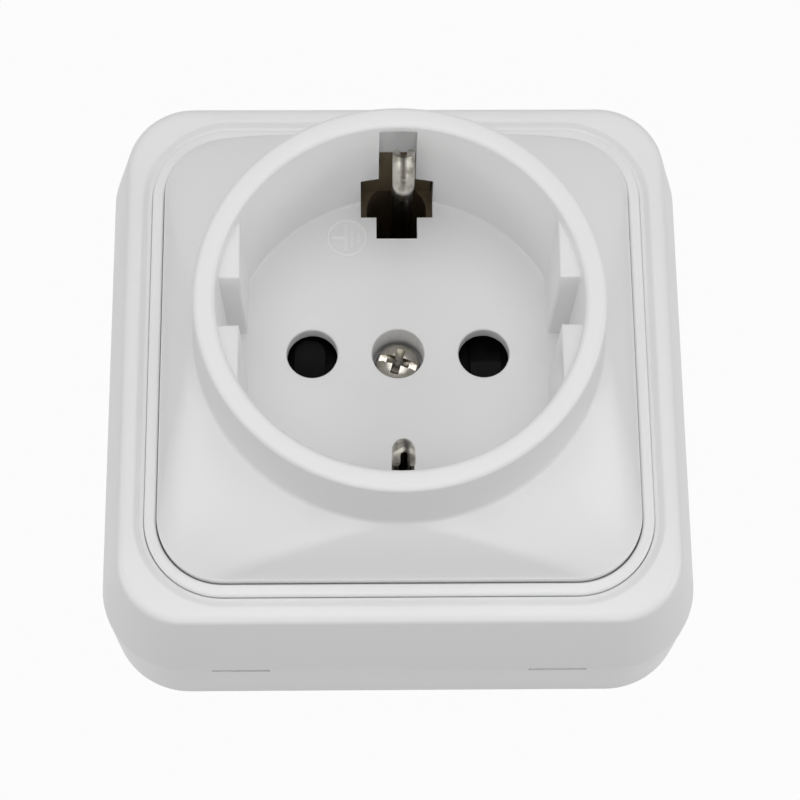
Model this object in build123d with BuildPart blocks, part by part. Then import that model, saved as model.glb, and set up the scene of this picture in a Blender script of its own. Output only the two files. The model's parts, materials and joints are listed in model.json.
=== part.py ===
"""Surface mounted earthed socket: a square frame on a wall plate, a domed cover with a round plug well,
a phenolic contact carrier with its brass contacts, an earth strap with two rolled clips and a turning shutter.

Origin at the middle of the back, X to the right, Y up the wall, Z out of the wall. Millimetres.
"""
import os

from build123d import *

# Heights above the wall
overall_height = 40.0
frame_height = 22.5
crease_height = 11.5
floor_top = 22.8
collar_height = 8.85
plate_edge_above_frame = 1.05

# Frame, half widths over the flats
frame_half_base = 32.65
frame_half_crease = 33.0
frame_half_top = 30.6
frame_corner_base = 8.9
frame_corner_crease = 9.5
frame_corner_top = 7.4
frame_wall = 2.0
frame_edge_radius = 1.0
ledge_thickness = 2.0
ledge_width = 1.6
valley_width = 1.0
valley_depth = 0.55

# Trim ring between frame and cover
ring_seat_depth = 2.1
ring_width = 1.18
ring_rise = 0.2
ring_edge_radius = 0.3
ring_play = 0.12

# Cover plate with its collar and plug well
plate_half = 26.13
plate_corner = 7.3
plate_play = 0.27
plate_chamfer = 0.3
dome_middle_part = 0.52
dome_middle_bulge = 0.66
dome_middle_corner = 13.8
plate_wall = 1.7
collar_radius_foot = 22.1
collar_radius_rim = 21.2
collar_outer_round = 0.55
collar_inner_round = 0.25
well_radius_rim = 19.3
well_radius_floor = 18.85
well_wall = 2.05
floor_thickness = 1.8

# Side shoulders in the well
shoulder_chord = 16.6
shoulder_drop = 2.0
shoulder_draft = 0.9
shoulder_notch_half = 2.4

# Plug apertures
pin_spacing = 19.0
pin_hole_radius = 2.81
centre_hole_radius = 2.93

# Cut-outs for the earth clips
earth_slot_half = 2.2
earth_slot_inner = 13.9
earth_slot_outer = 20.6
earth_slot_drop = 1.1
earth_window_half = 4.05
earth_window_inner = 16.5
earth_window_height = 5.1

# Cover screw, its boss and its bush
screw_boss_radius = 4.2
screw_boss_depth = 4.8
screw_seat_thickness = 1.8
screw_head_radius = 2.55
screw_head_height = 2.0
screw_head_side = 0.5
screw_radius = 1.45
screw_clearance = 4.2
screw_play = 0.1
recess_turn = -18.0
recess_slot_width = 0.8
recess_slot_depth = 0.9
recess_cross_length = 3.3
recess_cross_depth = 1.4
bush_radius = 2.9
bush_clearance = 1.2
bush_flange_radius = 3.6
bush_flange_thickness = 0.8

# Wall plate
base_thickness = 2.0
base_play = 0.3
base_corner = 6.6
wall_slot_margin = 4.75
wall_slot_width = 4.2
wall_slot_length = 6.0
cable_window_length = 16.0
cable_window_width = 4.8
cable_window_margin = 3.45
post_radius = 3.0
post_height = 4.4
latch_spacing = 35.0
latch_width = 6.0
latch_thickness = 1.2
latch_gap = 0.65
latch_hook = 1.1
latch_hook_height = 0.7
latch_slot_length = 6.4
latch_slot_height = 0.9

# Contact carrier
carrier_half_x = 21.5
carrier_half_y = 23.5
carrier_corner = 2.5
carrier_gap = 0.2
carrier_floor = 1.5
carrier_screw_x = 17.2
carrier_screw_y = 6.0
carrier_screw_radius = 1.4
carrier_screw_head_radius = 2.6
carrier_screw_head_height = 1.9
carrier_screw_land = 2.0
carrier_screw_length = 6.5
shutter_room_play = 0.4
shutter_room_depth = 3.4
earth_pocket_radius = 3.4
earth_pocket_inward = 4.0
earth_pocket_outward = 4.2
fit_play = 0.15

# Line contacts and their terminals
strip_thickness = 0.8
sleeve_base_radius = 2.5
sleeve_pinch_radius = 2.1
sleeve_mouth_radius = 2.7
sleeve_foot_play = 0.4
sleeve_gap = 1.9
sleeve_slit = 1.4
sleeve_leaf_length = 6.3
sleeve_room_play = 0.1
band_thickness = 0.4
band_height = 2.8
band_drop = 1.5
band_opening = 2.2
tail_width = 3.0
terminal_x = 12.0
terminal_y = 16.0
terminal_size = 8.4
terminal_drop = 0.4
terminal_shelf = 0.5
wire_room = 1.8
wire_window_width = 5.0
wire_window_height = 3.2
clamp_thickness = 1.2
clamp_rib = 0.35
terminal_screw_radius = 1.7
terminal_head_radius = 3.0
terminal_head_height = 2.2
terminal_screw_clearance = 0.7
terminal_slot_width = 0.9
terminal_slot_depth = 1.1
thread_play = 0.05

# Earth strap and its two rolled clips
strap_width = 7.0
strap_half_length = 20.4
clip_width = 2.5
clip_depth = 1.5
clip_sheet = 0.4
clip_seam = 0.7
clip_side_shift = 0.45
clip_stem_play = 0.9
clip_knee_drop = 15.0
clip_nose_play = 0.2
clip_nose_drop = 6.0
clip_tip_lean = 2.1
clip_tip_drop = 1.8
clip_bend_radius = 2.0
clip_foot_length = 5.2
clip_foot_width = 5.0
rivet_radius = 0.9
rivet_head_radius = 1.5
rivet_head_height = 0.6

# Shutter
shutter_play = 0.1
shutter_hub_radius = 6.5
shutter_height = 3.0
shutter_blade_radius = 12.2
shutter_blade_thickness = 1.2
shutter_blade_back = -3.5
shutter_blade_front = 4.8
ramp_offset = 9.8
ramp_width = 3.4
ramp_tip_y = 2.5

# Shutter spring
spring_wire = 0.5
spring_half_turns = 5
spring_inner_play = 0.45
spring_outer_play = 0.2
spring_room_height = 1.9
spring_leg = 1.2

# Heights worked out from the sizes above
well_depth = overall_height - floor_top
floor_under = floor_top - floor_thickness
ledge_top = frame_height - ring_seat_depth
ledge_under = ledge_top - ledge_thickness
plate_edge_top = frame_height + plate_edge_above_frame
dome_top = overall_height - collar_height
boss_under = floor_under - screw_boss_depth
screw_seat = boss_under + screw_seat_thickness
carrier_top = floor_under - carrier_gap
shutter_floor = carrier_top - shutter_room_depth
pocket_floor = base_thickness + carrier_floor
opening_half = plate_half + plate_play
ring_outer_half = opening_half + ring_width
groove_half = ring_outer_half + ring_play
ledge_half = opening_half - ledge_width
pin_x = pin_spacing / 2
strap_top = base_thickness + strip_thickness
shutter_room_radius = shutter_blade_radius + shutter_room_play
spring_coil_radius = screw_boss_radius + spring_inner_play + spring_wire / 2
spring_room_radius = spring_coil_radius + spring_wire / 2 + spring_outer_play
spring_floor = shutter_floor - spring_room_height
sleeve_start = pocket_floor + sleeve_foot_play
sleeve_top = shutter_floor - sleeve_gap
sleeve_room_radius = sleeve_mouth_radius + strip_thickness + sleeve_room_play
slit_floor = sleeve_top - sleeve_leaf_length
terminal_seat = slit_floor - strip_thickness - terminal_drop
clip_stem_y = earth_window_inner + clip_stem_play
clip_nose_y = earth_slot_inner + clip_nose_play
clip_tip_y = clip_nose_y + clip_tip_lean
earth_pocket_inner = clip_stem_y - earth_pocket_inward
earth_pocket_outer = clip_stem_y + earth_pocket_outward


def square_loft(sections, ruled=True):
    """A solid through level rounded squares, each given as (height, half width, corner radius)."""
    with BuildPart() as body:
        for height, half, corner in sections:
            with BuildSketch(Plane.XY.offset(height)):
                RectangleRounded(2 * half, 2 * half, corner)
        loft(ruled=ruled)
    return body.part


os.makedirs("parts", exist_ok=True)

# Frame: the drafted box around the mechanism, with a ledge for the trim ring and the cover
draft = (frame_half_crease - frame_half_top) / (frame_height - crease_height)
inner_half_top = frame_half_crease - draft * (ledge_under - crease_height) - frame_wall
with BuildPart() as cover_frame:
    add(square_loft([
        (0, frame_half_base, frame_corner_base),
        (crease_height, frame_half_crease, frame_corner_crease),
        (frame_height, frame_half_top, frame_corner_top),
    ]))
    fillet(cover_frame.faces().sort_by(Axis.Z)[-1].edges(), frame_edge_radius)
    add(square_loft([
        (0, frame_half_base - frame_wall, frame_corner_base - frame_wall),
        (crease_height, frame_half_crease - frame_wall, frame_corner_crease - frame_wall),
        (ledge_under, inner_half_top, frame_corner_top - frame_wall + 1),
    ]), mode=Mode.SUBTRACT)
    with BuildSketch(Plane.XY.offset(ledge_under)):
        RectangleRounded(2 * ledge_half, 2 * ledge_half, plate_corner - ledge_width)
    extrude(amount=frame_height - ledge_under, mode=Mode.SUBTRACT)
    groove_corner = plate_corner + plate_play + ring_width
    with BuildSketch(Plane.XY.offset(ledge_top)):
        RectangleRounded(2 * groove_half, 2 * groove_half, groove_corner)
    extrude(amount=ring_seat_depth, mode=Mode.SUBTRACT)
    valley_floor = frame_height - valley_depth
    add(square_loft([
        (valley_floor, groove_half, groove_corner),
        (valley_floor + 0.25 * valley_depth, groove_half + 0.6 * valley_width, groove_corner + 0.6),
        (frame_height, groove_half + valley_width, groove_corner + 1),
    ]), mode=Mode.SUBTRACT)
    with BuildSketch(Plane.XY.offset(crease_height - latch_slot_height)):
        with GridLocations(latch_spacing, 2 * frame_half_crease, 2, 2):
            Rectangle(latch_slot_length, 4 * frame_wall)
    extrude(amount=latch_slot_height, mode=Mode.SUBTRACT)
cover_frame.part.label = "cover_frame"
export_step(cover_frame.part, "parts/cover_frame.step")

# Trim ring: the raised square ring that frames the cover
with BuildPart() as trim_ring:
    with BuildSketch(Plane.XY.offset(ledge_top)):
        RectangleRounded(2 * ring_outer_half, 2 * ring_outer_half, groove_corner - ring_play)
        RectangleRounded(2 * opening_half, 2 * opening_half, plate_corner + plate_play, mode=Mode.SUBTRACT)
    extrude(amount=ring_seat_depth + ring_rise)
    fillet(trim_ring.faces().sort_by(Axis.Z)[-1].edges(), ring_edge_radius)
trim_ring.part.label = "trim_ring"
export_step(trim_ring.part, "parts/trim_ring.step")

# Cover: skirt, small edge bevel, convex dome, collar and plug well moulded in one
dome_foot_half = plate_half - plate_chamfer
dome_foot = plate_edge_top
dome_rise = dome_top - dome_foot
dome_run = dome_foot_half - collar_radius_foot
middle_height = dome_foot + dome_middle_part * dome_rise
middle_half = dome_foot_half - dome_middle_part * dome_run + dome_middle_bulge
dome_corner = plate_corner - plate_chamfer
inner_foot_half = dome_foot_half - plate_wall
inner_top = dome_top - plate_wall
with BuildPart() as socket_plate:
    with BuildSketch(Plane.XY.offset(ledge_top)):
        RectangleRounded(2 * plate_half, 2 * plate_half, plate_corner)
    extrude(amount=plate_edge_top - plate_chamfer - ledge_top)
    add(square_loft([
        (plate_edge_top - plate_chamfer, plate_half, plate_corner),
        (plate_edge_top, dome_foot_half, dome_corner),
    ]))
    add(square_loft([
        (dome_foot, dome_foot_half, dome_corner),
        (middle_height, middle_half, dome_middle_corner),
        (dome_top, collar_radius_foot, collar_radius_foot - 0.15),
    ], ruled=False))
    with BuildSketch(Plane.XY.offset(ledge_top)):
        RectangleRounded(2 * inner_foot_half, 2 * inner_foot_half, dome_corner - plate_wall)
    extrude(amount=dome_foot - ledge_top, mode=Mode.SUBTRACT)
    add(square_loft([
        (dome_foot, inner_foot_half, dome_corner - plate_wall),
        (middle_height - 0.4 * plate_wall, middle_half - plate_wall, dome_middle_corner - plate_wall),
        (inner_top, collar_radius_foot - 0.4 * plate_wall, collar_radius_foot - 0.4 * plate_wall - 0.15),
    ], ruled=False), mode=Mode.SUBTRACT)
    with BuildSketch(Plane.XZ):
        with BuildLine():
            Polyline(
                (0, floor_under),
                (well_radius_floor + well_wall, floor_under),
                (well_radius_floor + well_wall, inner_top - 0.2),
                (collar_radius_foot, inner_top),
                (collar_radius_foot, dome_top),
                (collar_radius_rim, overall_height),
                (0, overall_height),
                close=True,
            )
        make_face()
    revolve(axis=Axis.Z)
    with BuildSketch(Plane.XZ):
        with BuildLine():
            Polyline(
                (0, floor_top),
                (well_radius_floor, floor_top),
                (well_radius_rim, overall_height),
                (0, overall_height),
                close=True,
            )
        make_face()
    revolve(axis=Axis.Z, mode=Mode.SUBTRACT)
    rim_edges = socket_plate.edges().filter_by(GeomType.CIRCLE).group_by(Axis.Z)[-1].sort_by(SortBy.RADIUS)
    fillet(rim_edges[-1], collar_outer_round)
    inner_rim = socket_plate.edges().filter_by(GeomType.CIRCLE).group_by(Axis.Z)[-1].sort_by(SortBy.RADIUS)
    fillet(inner_rim[0], collar_inner_round)
    # the two pairs of shoulders that key the plug's sides
    shoulder_reach = 5.4
    shoulder_length = 9.6
    with BuildSketch(Plane.XY.offset(floor_top)):
        across = 2 * shoulder_chord + shoulder_reach
        along = 2 * shoulder_notch_half + shoulder_length
        with GridLocations(across, along, 2, 2):
            Rectangle(shoulder_reach, shoulder_length)
        Circle(well_radius_floor + 0.6 * well_wall, mode=Mode.INTERSECT)
    extrude(amount=well_depth - shoulder_drop, taper=shoulder_draft)
    # tubular boss for the cover screw
    with BuildSketch(Plane.XY.offset(boss_under)):
        Circle(screw_boss_radius)
    extrude(amount=screw_boss_depth)
    with BuildSketch(Plane.XY.offset(screw_seat)):
        Circle(centre_hole_radius)
    extrude(amount=floor_top - screw_seat, mode=Mode.SUBTRACT)
    with BuildSketch(Plane.XY.offset(boss_under)):
        Circle(screw_radius + screw_play)
    extrude(amount=screw_seat_thickness, mode=Mode.SUBTRACT)
    # apertures for the plug's two pins
    with BuildSketch(Plane.XY.offset(floor_under)):
        with GridLocations(pin_spacing, 0, 2, 1):
            Circle(pin_hole_radius)
    extrude(amount=floor_thickness, mode=Mode.SUBTRACT)
    # cross-shaped cut-outs for the earth clips, above and below
    slot_top = overall_height - earth_slot_drop
    slot_middle = (earth_slot_inner + earth_slot_outer) / 2
    with BuildSketch(Plane.XY.offset(floor_under)):
        with GridLocations(0, 2 * slot_middle, 1, 2):
            Rectangle(2 * earth_slot_half, earth_slot_outer - earth_slot_inner)
    extrude(amount=slot_top - floor_under, mode=Mode.SUBTRACT)
    through_reach = well_radius_floor + well_wall + 0.4
    with BuildSketch(Plane.XY.offset(floor_under)):
        with GridLocations(0, through_reach + earth_window_inner, 1, 2):
            Rectangle(2 * earth_window_half, through_reach - earth_window_inner)
    extrude(amount=floor_thickness + earth_window_height, mode=Mode.SUBTRACT)
    with BuildSketch(Plane.XY.offset(floor_under)):
        with GridLocations(0, through_reach + earth_window_inner, 1, 2):
            Rectangle(2 * earth_slot_half, through_reach - earth_window_inner)
    extrude(amount=inner_top - 0.2 - floor_under, mode=Mode.SUBTRACT)
socket_plate.part.label = "socket_plate"
export_step(socket_plate.part, "parts/socket_plate.step")

# Wall plate: slots for the wall screws, window for the cable, two posts and four latches
inner_half_base = frame_half_base - frame_wall
inner_half_crease = frame_half_crease - frame_wall
inner_half_at_plate = inner_half_base + (inner_half_crease - inner_half_base) * base_thickness / crease_height
base_half = min(inner_half_base, inner_half_at_plate) - base_play
wall_screw_spacing = 2 * (base_half - wall_slot_margin)
cable_window_y = cable_window_margin - base_half
post_places = [(carrier_screw_x, carrier_screw_y), (-carrier_screw_x, -carrier_screw_y)]
post_top = base_thickness + post_height
screw_bore_floor = post_top + carrier_screw_land + thread_play - carrier_screw_length - 0.4
with BuildPart() as base_plate:
    with BuildSketch():
        RectangleRounded(2 * base_half, 2 * base_half, base_corner)
        with GridLocations(wall_screw_spacing, 0, 2, 1):
            SlotOverall(wall_slot_length, wall_slot_width, mode=Mode.SUBTRACT)
        with Locations((0, cable_window_y)):
            RectangleRounded(cable_window_length, cable_window_width, 1, mode=Mode.SUBTRACT)
    extrude(amount=base_thickness)
    hook_foot = crease_height - latch_slot_height + 0.1
    latch_face = inner_half_crease - latch_gap
    hook_reach = latch_face + latch_hook
    with BuildSketch(Plane.YZ.offset((latch_spacing - latch_width) / 2)):
        with BuildLine():
            Polyline(
                (base_half - latch_thickness, base_thickness),
                (base_half, base_thickness),
                (latch_face, hook_foot),
                (hook_reach, hook_foot),
                (hook_reach, hook_foot + 0.3),
                (hook_reach - 0.4, hook_foot + latch_hook_height),
                (latch_face, hook_foot + 2 * latch_hook_height),
                (latch_face - latch_thickness, hook_foot + 2 * latch_hook_height),
                close=True,
            )
        make_face()
        mirror(about=Plane.YZ)
    extrude(amount=latch_width)
    mirror(about=Plane.YZ)
    with BuildSketch(Plane.XY.offset(base_thickness)):
        with Locations(*post_places):
            Circle(post_radius)
    extrude(amount=post_height)
    with BuildSketch(Plane.XY.offset(screw_bore_floor)):
        with Locations(*post_places):
            Circle(carrier_screw_radius + thread_play)
    extrude(amount=post_top - screw_bore_floor, mode=Mode.SUBTRACT)
base_plate.part.label = "base_plate"
export_step(base_plate.part, "parts/base_plate.step")

# Contact carrier: the phenolic block, with rooms for the shutter, the contacts, the terminals and the strap
carrier_screw_land_top = post_top + fit_play + carrier_screw_land
channel_width = strap_width + 2 * fit_play
pocket_length = earth_pocket_outer - earth_pocket_inner
pocket_spacing = earth_pocket_outer + earth_pocket_inner
wire_window_floor = terminal_seat + strip_thickness
with BuildPart() as contact_carrier:
    with BuildSketch(Plane.XY.offset(base_thickness)):
        RectangleRounded(2 * carrier_half_x, 2 * carrier_half_y, carrier_corner)
    extrude(amount=carrier_top - base_thickness)
    # round room for the shutter, a smaller one for its spring, then the bush and the end of the screw
    with BuildSketch(Plane.XY.offset(shutter_floor)):
        Circle(shutter_room_radius)
    extrude(amount=shutter_room_depth, mode=Mode.SUBTRACT)
    with BuildSketch(Plane.XY.offset(spring_floor)):
        Circle(spring_room_radius)
    extrude(amount=spring_room_height, mode=Mode.SUBTRACT)
    with BuildSketch(Plane.XY.offset(spring_floor - spring_leg)):
        with Locations((spring_coil_radius, 0)):
            Circle(0.7 * spring_wire)
    extrude(amount=spring_leg, mode=Mode.SUBTRACT)
    with BuildSketch(Plane.XY.offset(spring_floor - bush_flange_thickness)):
        Circle(bush_flange_radius + thread_play)
    extrude(amount=bush_flange_thickness, mode=Mode.SUBTRACT)
    with BuildSketch(Plane.XY.offset(strap_top)):
        Circle(bush_radius)
    extrude(amount=spring_floor - strap_top, mode=Mode.SUBTRACT)
    # rooms for the two sleeves, each with a channel to its terminal
    with BuildSketch(Plane.XY.offset(pocket_floor)):
        with GridLocations(pin_spacing, 0, 2, 1):
            Circle(sleeve_room_radius)
    extrude(amount=shutter_floor - pocket_floor, mode=Mode.SUBTRACT)
    tail_start = terminal_x - terminal_size / 2
    with BuildSketch(Plane.XY.offset(terminal_seat)):
        with GridLocations(2 * tail_start + tail_width, 0, 2, 1):
            with Locations((0, -terminal_y / 2)):
                Rectangle(tail_width + 2 * fit_play, terminal_y)
        with GridLocations(2 * terminal_x, 0, 2, 1):
            with Locations((0, -terminal_y)):
                Rectangle(terminal_size, terminal_size)
    extrude(amount=carrier_top - terminal_seat, mode=Mode.SUBTRACT)
    with BuildSketch(Plane.XY.offset(pocket_floor)):
        with GridLocations(2 * terminal_x, 0, 2, 1):
            with Locations((0, -terminal_y)):
                Circle(terminal_screw_radius + 0.4)
    extrude(amount=terminal_seat - pocket_floor, mode=Mode.SUBTRACT)
    # windows in the sides for the three conductors
    with BuildSketch(Plane.XY.offset(wire_window_floor)):
        with Locations((terminal_x, -carrier_half_y), (-terminal_x, -carrier_half_y), (-terminal_x, carrier_half_y)):
            Rectangle(wire_window_width, 2 * (carrier_half_y - terminal_y))
    extrude(amount=wire_window_height, mode=Mode.SUBTRACT)
    # room for the earth strap below, its raised terminal, and the pockets for the clips
    with BuildSketch(Plane.XY.offset(base_thickness)):
        Rectangle(channel_width, 2 * strap_half_length + 2 * fit_play)
    extrude(amount=strip_thickness + fit_play, mode=Mode.SUBTRACT)
    with BuildSketch(Plane.XY.offset(base_thickness)):
        with GridLocations(0, pocket_spacing, 1, 2):
            Rectangle(2 * earth_pocket_radius, pocket_length)
    extrude(amount=strip_thickness + clip_sheet + rivet_head_height + fit_play, mode=Mode.SUBTRACT)
    with BuildSketch(Plane.XY.offset(base_thickness)):
        with GridLocations(0, pocket_spacing, 1, 2):
            SlotOverall(pocket_length, 2 * earth_pocket_radius, rotation=90)
    extrude(amount=carrier_top - base_thickness, mode=Mode.SUBTRACT)
    earth_tab_half = terminal_size / 2 + fit_play
    with BuildSketch(Plane.XY.offset(base_thickness)):
        with BuildLine():
            Polyline(
                (-terminal_x - earth_tab_half, terminal_y - earth_tab_half),
                (0, terminal_y - earth_tab_half),
                (0, terminal_y + earth_tab_half),
                (-terminal_x - earth_tab_half, terminal_y + earth_tab_half),
                close=True,
            )
        make_face()
    extrude(amount=terminal_seat + strip_thickness - base_thickness, mode=Mode.SUBTRACT)
    with BuildSketch(Plane.XY.offset(terminal_seat)):
        with Locations((-terminal_x, terminal_y)):
            Rectangle(terminal_size - 2 * terminal_shelf, terminal_size - 2 * terminal_shelf)
    extrude(amount=carrier_top - terminal_seat, mode=Mode.SUBTRACT)
    # core in the unused corner, open below
    with BuildSketch(Plane.XY.offset(base_thickness)):
        with Locations((terminal_x + 0.6, terminal_y)):
            RectangleRounded(terminal_size + 2.4, terminal_size + 1.6, 1)
    extrude(amount=0.8 * (carrier_top - base_thickness), mode=Mode.SUBTRACT)
    # sockets for the posts and stepped holes for the two screws
    with BuildSketch(Plane.XY.offset(base_thickness)):
        with Locations(*post_places):
            Circle(post_radius + fit_play)
    extrude(amount=post_height + fit_play, mode=Mode.SUBTRACT)
    with BuildSketch(Plane.XY.offset(post_top)):
        with Locations(*post_places):
            Circle(carrier_screw_radius + fit_play)
    extrude(amount=carrier_screw_land_top - post_top, mode=Mode.SUBTRACT)
    with BuildSketch(Plane.XY.offset(carrier_screw_land_top)):
        with Locations(*post_places):
            Circle(carrier_screw_head_radius + 2 * fit_play)
    extrude(amount=carrier_top - carrier_screw_land_top, mode=Mode.SUBTRACT)
contact_carrier.part.label = "contact_carrier"
export_step(contact_carrier.part, "parts/contact_carrier.step")

# Screws that hold the carrier to the posts
with BuildPart() as carrier_screws:
    with BuildSketch(Plane.XY.offset(carrier_screw_land_top)):
        with Locations(*post_places):
            Circle(carrier_screw_head_radius)
    extrude(amount=carrier_screw_head_height)
    fillet(carrier_screws.faces().group_by(Axis.Z)[-1].edges(), 0.6)
    with BuildSketch(Plane.XY.offset(carrier_screw_land_top - carrier_screw_length)):
        with Locations(*post_places):
            Circle(carrier_screw_radius)
    extrude(amount=carrier_screw_length)
    with BuildSketch(Plane.XY.offset(carrier_screw_land_top + 0.4 * carrier_screw_head_height)):
        with Locations(*post_places):
            Rectangle(2.8, 0.7)
            Rectangle(0.7, 2.8)
    extrude(amount=carrier_screw_head_height, mode=Mode.SUBTRACT)
carrier_screws.part.label = "carrier_screws"
export_step(carrier_screws.part, "parts/carrier_screws.step")

# Threaded bush in the carrier for the cover screw
with BuildPart() as centre_bush:
    with BuildSketch(Plane.XZ):
        with BuildLine():
            Polyline(
                (screw_radius + thread_play, strap_top + bush_clearance),
                (bush_radius, strap_top + bush_clearance),
                (bush_radius, spring_floor - bush_flange_thickness),
                (bush_flange_radius, spring_floor - bush_flange_thickness),
                (bush_flange_radius, spring_floor),
                (screw_radius + thread_play, spring_floor),
                close=True,
            )
        make_face()
    revolve(axis=Axis.Z)
centre_bush.part.label = "centre_bush"
export_step(centre_bush.part, "parts/centre_bush.step")

# Cover screw: domed head with one long slot and a shorter deep cross
with BuildPart() as cover_screw:
    with BuildSketch(Plane.XZ):
        with BuildLine():
            Polyline(
                (0, screw_seat + screw_head_height),
                (0, strap_top + screw_clearance),
                (screw_radius, strap_top + screw_clearance),
                (screw_radius, screw_seat),
                (screw_head_radius, screw_seat),
                (screw_head_radius, screw_seat + screw_head_side),
            )
            ThreePointArc(
                (screw_head_radius, screw_seat + screw_head_side),
                (0.6 * screw_head_radius, screw_seat + 0.8 * screw_head_height),
                (0, screw_seat + screw_head_height),
            )
        make_face()
    revolve(axis=Axis.Z)
    with BuildSketch(Plane.XY.offset(screw_seat + screw_head_height - recess_slot_depth)):
        Rectangle(3 * screw_head_radius, recess_slot_width, rotation=recess_turn)
    extrude(amount=screw_head_height, mode=Mode.SUBTRACT)
    with BuildSketch(Plane.XY.offset(screw_seat + screw_head_height - recess_cross_depth)):
        Rectangle(recess_cross_length, recess_slot_width, rotation=recess_turn)
        Rectangle(recess_slot_width, recess_cross_length, rotation=recess_turn)
    extrude(amount=screw_head_height, mode=Mode.SUBTRACT)
cover_screw.part.label = "cover_screw"
export_step(cover_screw.part, "parts/cover_screw.step")


def line_contact(side):
    """Sleeve with two sprung leaves, a tail and a flat terminal, on the left (-1) or the right (1)."""
    base_outer = sleeve_base_radius + strip_thickness
    pinch_outer = sleeve_pinch_radius + strip_thickness
    mouth_outer = sleeve_mouth_radius + strip_thickness
    pinch = sleeve_top - 2.5
    terminal_half = terminal_size / 2 - fit_play
    with BuildPart() as contact:
        with BuildSketch(Plane.XZ):
            with BuildLine():
                Polyline(
                    (sleeve_base_radius, sleeve_start),
                    (base_outer, sleeve_start),
                    (base_outer, slit_floor),
                    (pinch_outer, slit_floor + 1.7),
                    (pinch_outer, sleeve_top - 1),
                    (mouth_outer, sleeve_top),
                    (sleeve_mouth_radius, sleeve_top),
                    (sleeve_pinch_radius, pinch),
                    (sleeve_base_radius, slit_floor),
                    close=True,
                )
            make_face()
        revolve(axis=Axis.Z)
        with BuildSketch(Plane.XY.offset(slit_floor)):
            Rectangle(sleeve_slit, 4 * mouth_outer)
        extrude(amount=sleeve_leaf_length, mode=Mode.SUBTRACT)
        tail_inner = tail_start - pin_x + fit_play
        with BuildSketch(Plane.XY.offset(terminal_seat)):
            with Locations((side * (tail_inner + (tail_width - fit_play) / 2), -terminal_y / 2)):
                Rectangle(tail_width - fit_play, terminal_y)
            Circle(base_outer - 0.1, mode=Mode.SUBTRACT)
            with Locations((side * (terminal_x - pin_x), -terminal_y)):
                Rectangle(2 * terminal_half, 2 * terminal_half)
                Circle(terminal_screw_radius + thread_play, mode=Mode.SUBTRACT)
        extrude(amount=strip_thickness)
    return contact


# Line contacts
with BuildPart() as contact_left:
    add(line_contact(-1).part.moved(Location((-pin_x, 0, 0))))
contact_left.part.label = "contact_left"
export_step(contact_left.part, "parts/contact_left.step")

with BuildPart() as contact_right:
    add(line_contact(1).part.moved(Location((pin_x, 0, 0))))
contact_right.part.label = "contact_right"
export_step(contact_right.part, "parts/contact_right.step")

# Bands that keep the sleeves closed
band_inner = sleeve_pinch_radius + strip_thickness
band_floor = sleeve_top - band_drop - band_height
with BuildPart() as contact_spring_left:
    with BuildSketch(Plane.XY.offset(band_floor)):
        with Locations((-pin_x, 0)):
            Circle(band_inner + band_thickness)
            Circle(band_inner, mode=Mode.SUBTRACT)
        with Locations((-pin_x, band_inner)):
            Rectangle(band_opening, band_inner, mode=Mode.SUBTRACT)
    extrude(amount=band_height)
contact_spring_left.part.label = "contact_spring_left"
export_step(contact_spring_left.part, "parts/contact_spring_left.step")

with BuildPart() as contact_spring_right:
    add(contact_spring_left.part)
    mirror(about=Plane.YZ, mode=Mode.REPLACE)
contact_spring_right.part.label = "contact_spring_right"
export_step(contact_spring_right.part, "parts/contact_spring_right.step")

# Clamp plates and screws of the three terminals
clamp_floor = terminal_seat + strip_thickness + wire_room
clamp_half = terminal_size / 2 - terminal_shelf - fit_play


def clamp_plate(x, y):
    """Square plate with two gripping ribs below and a hole for the terminal screw."""
    with BuildPart() as clamp:
        with BuildSketch(Plane.XY.offset(clamp_floor)):
            with Locations((x, y)):
                Rectangle(2 * clamp_half, 2 * clamp_half)
        extrude(amount=clamp_thickness)
        with BuildSketch(Plane.XY.offset(clamp_floor - clamp_rib)):
            with Locations((x, y)):
                with GridLocations(0, 2 * clamp_half - 1, 1, 2):
                    Rectangle(2 * clamp_half, 0.6)
        extrude(amount=clamp_rib)
        with BuildSketch(Plane.XY.offset(clamp_floor)):
            with Locations((x, y)):
                Circle(terminal_screw_radius + 0.2)
        extrude(amount=clamp_thickness, mode=Mode.SUBTRACT)
    return clamp


def terminal_screw(x, y):
    """Slotted cheese head screw standing on its clamp plate."""
    head_seat = clamp_floor + clamp_thickness
    with BuildPart() as screw:
        with BuildSketch(Plane.XY.offset(head_seat)):
            with Locations((x, y)):
                Circle(terminal_head_radius)
        extrude(amount=terminal_head_height)
        fillet(screw.faces().sort_by(Axis.Z)[-1].edges(), 0.3)
        with BuildSketch(Plane.XY.offset(pocket_floor + terminal_screw_clearance)):
            with Locations((x, y)):
                Circle(terminal_screw_radius)
        extrude(amount=head_seat - pocket_floor - terminal_screw_clearance)
        with BuildSketch(Plane.XY.offset(head_seat + terminal_head_height - terminal_slot_depth)):
            with Locations((x, y)):
                Rectangle(3 * terminal_head_radius, terminal_slot_width)
        extrude(amount=terminal_slot_depth, mode=Mode.SUBTRACT)
    return screw


clamp_plate_left = clamp_plate(-terminal_x, -terminal_y)
clamp_plate_left.part.label = "clamp_plate_left"
export_step(clamp_plate_left.part, "parts/clamp_plate_left.step")

clamp_plate_right = clamp_plate(terminal_x, -terminal_y)
clamp_plate_right.part.label = "clamp_plate_right"
export_step(clamp_plate_right.part, "parts/clamp_plate_right.step")

earth_clamp_plate = clamp_plate(-terminal_x, terminal_y)
earth_clamp_plate.part.label = "earth_clamp_plate"
export_step(earth_clamp_plate.part, "parts/earth_clamp_plate.step")

terminal_screw_left = terminal_screw(-terminal_x, -terminal_y)
terminal_screw_left.part.label = "terminal_screw_left"
export_step(terminal_screw_left.part, "parts/terminal_screw_left.step")

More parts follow.
